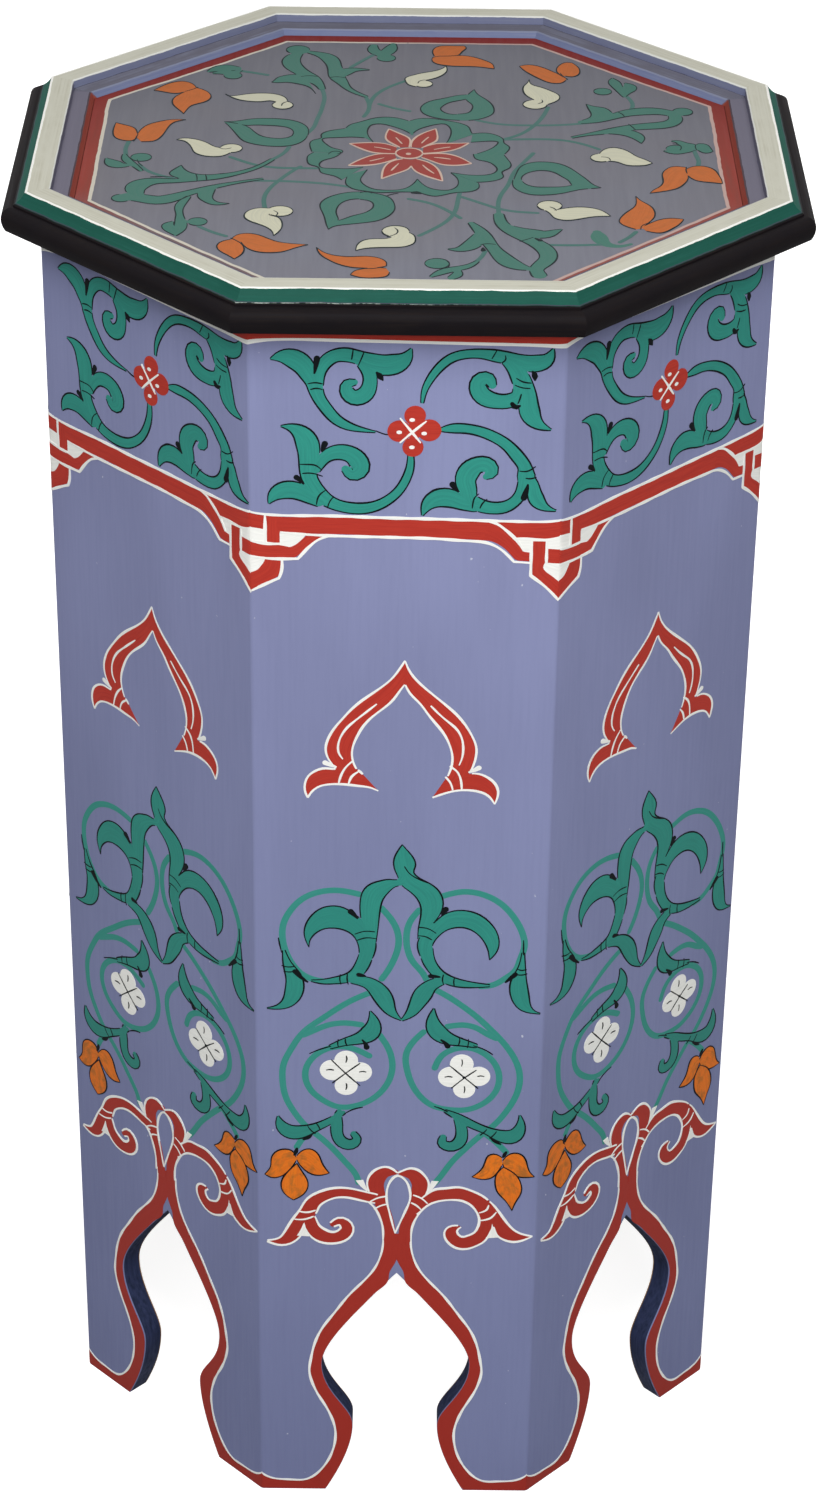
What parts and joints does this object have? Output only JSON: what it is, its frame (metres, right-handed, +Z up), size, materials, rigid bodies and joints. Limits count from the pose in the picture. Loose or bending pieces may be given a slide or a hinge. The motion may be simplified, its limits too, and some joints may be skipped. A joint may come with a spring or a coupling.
{
  "type": "side table",
  "caption": "Tall octagonal painted wooden side table with arch-cut feet and a shallow moulded tray top.",
  "frame": {"origin": "centre of the footprint, on the floor", "axes": "+Z up, -Y out of the front side, +X to the right of a viewer who faces that side"},
  "size_m": [0.38, 0.38, 0.71],
  "materials": {
    "body_paint": "brushed violet-blue paint with painted scrolls, satin varnish",
    "tray_paint": "brushed violet paint with a painted flower and scrolls, satin varnish",
    "rim_paint": "paint in bands of black, dark green, cream and violet, satin varnish",
    "bare_softwood": "sawn, unfinished",
    "screw_steel": "zinc plated"
  },
  "bodies": {
    "root": {"side_board_1": "body_paint", "side_board_2": "body_paint", "side_board_3": "body_paint", "side_board_4": "body_paint", "side_board_5": "body_paint", "side_board_6": "body_paint", "side_board_7": "body_paint", "side_board_8": "body_paint", "rim_moulding_1": "rim_paint", "rim_moulding_2": "rim_paint", "rim_moulding_3": "rim_paint", "rim_moulding_4": "rim_paint", "rim_moulding_5": "rim_paint", "rim_moulding_6": "rim_paint", "rim_moulding_7": "rim_paint", "rim_moulding_8": "rim_paint", "tray_board": "tray_paint", "corner_batten_1": "bare_softwood", "corner_batten_2": "bare_softwood", "corner_batten_3": "bare_softwood", "corner_batten_4": "bare_softwood", "corner_batten_5": "bare_softwood", "corner_batten_6": "bare_softwood", "corner_batten_7": "bare_softwood", "corner_batten_8": "bare_softwood", "top_cleat_1": "bare_softwood", "top_cleat_2": "bare_softwood", "top_cleat_3": "bare_softwood", "top_cleat_4": "bare_softwood", "top_cleat_5": "bare_softwood", "top_cleat_6": "bare_softwood", "top_cleat_7": "bare_softwood", "top_cleat_8": "bare_softwood", "top_screws": "screw_steel"}
  },
  "joints": []
}
